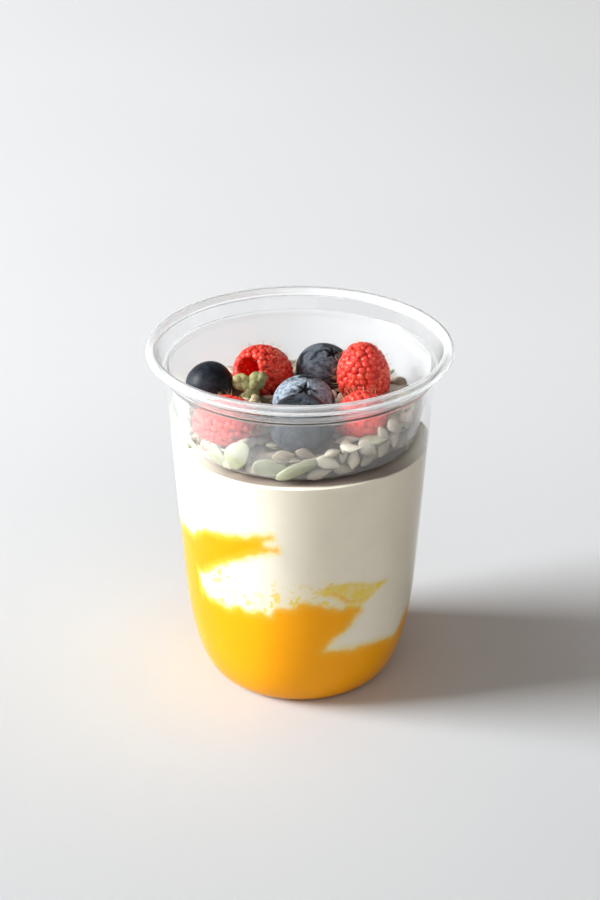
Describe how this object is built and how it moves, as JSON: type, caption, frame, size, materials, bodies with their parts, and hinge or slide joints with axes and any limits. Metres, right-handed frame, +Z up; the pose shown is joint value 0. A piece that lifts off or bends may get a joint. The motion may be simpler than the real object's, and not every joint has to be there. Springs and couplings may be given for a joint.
{
  "type": "yogurt pot",
  "caption": "Clear round-bottomed cup of yogurt swirled over mango puree, with a clear tray of seeds, blueberries and raspberries in its mouth.",
  "frame": {"origin": "centre of the cup's foot, at the level of the surface it stands on", "axes": "+Z up along the cup's axis, -Y towards the front, where the mango swirl shows, +X to the right"},
  "size_m": [0.095, 0.095, 0.113],
  "materials": {
    "cup_plastic": "clear, thin, smooth thermoformed sheet",
    "tray_plastic": "clear, thin, slightly hazy thermoformed sheet",
    "yogurt": "moist, smooth, thick yogurt",
    "mango": "wet, smooth fruit puree",
    "seeds": "dry hulled sunflower and pumpkin seeds",
    "blueberry": "waxy skin with pale bloom",
    "raspberry": "soft, moist drupelets with fine hairs",
    "green_kernel": "dull olive pumpkin kernels"
  },
  "bodies": {
    "root": {"cup": "cup_plastic", "tray": "tray_plastic", "yogurt": "yogurt", "mango": "mango", "seed_bed": "seeds", "blueberry_1": "blueberry", "blueberry_2": "blueberry", "blueberry_3": "blueberry", "blueberry_4": "blueberry", "raspberry_1": "raspberry", "raspberry_2": "raspberry", "raspberry_3": "raspberry", "raspberry_4": "raspberry", "seed_cluster": "green_kernel"}
  },
  "joints": []
}
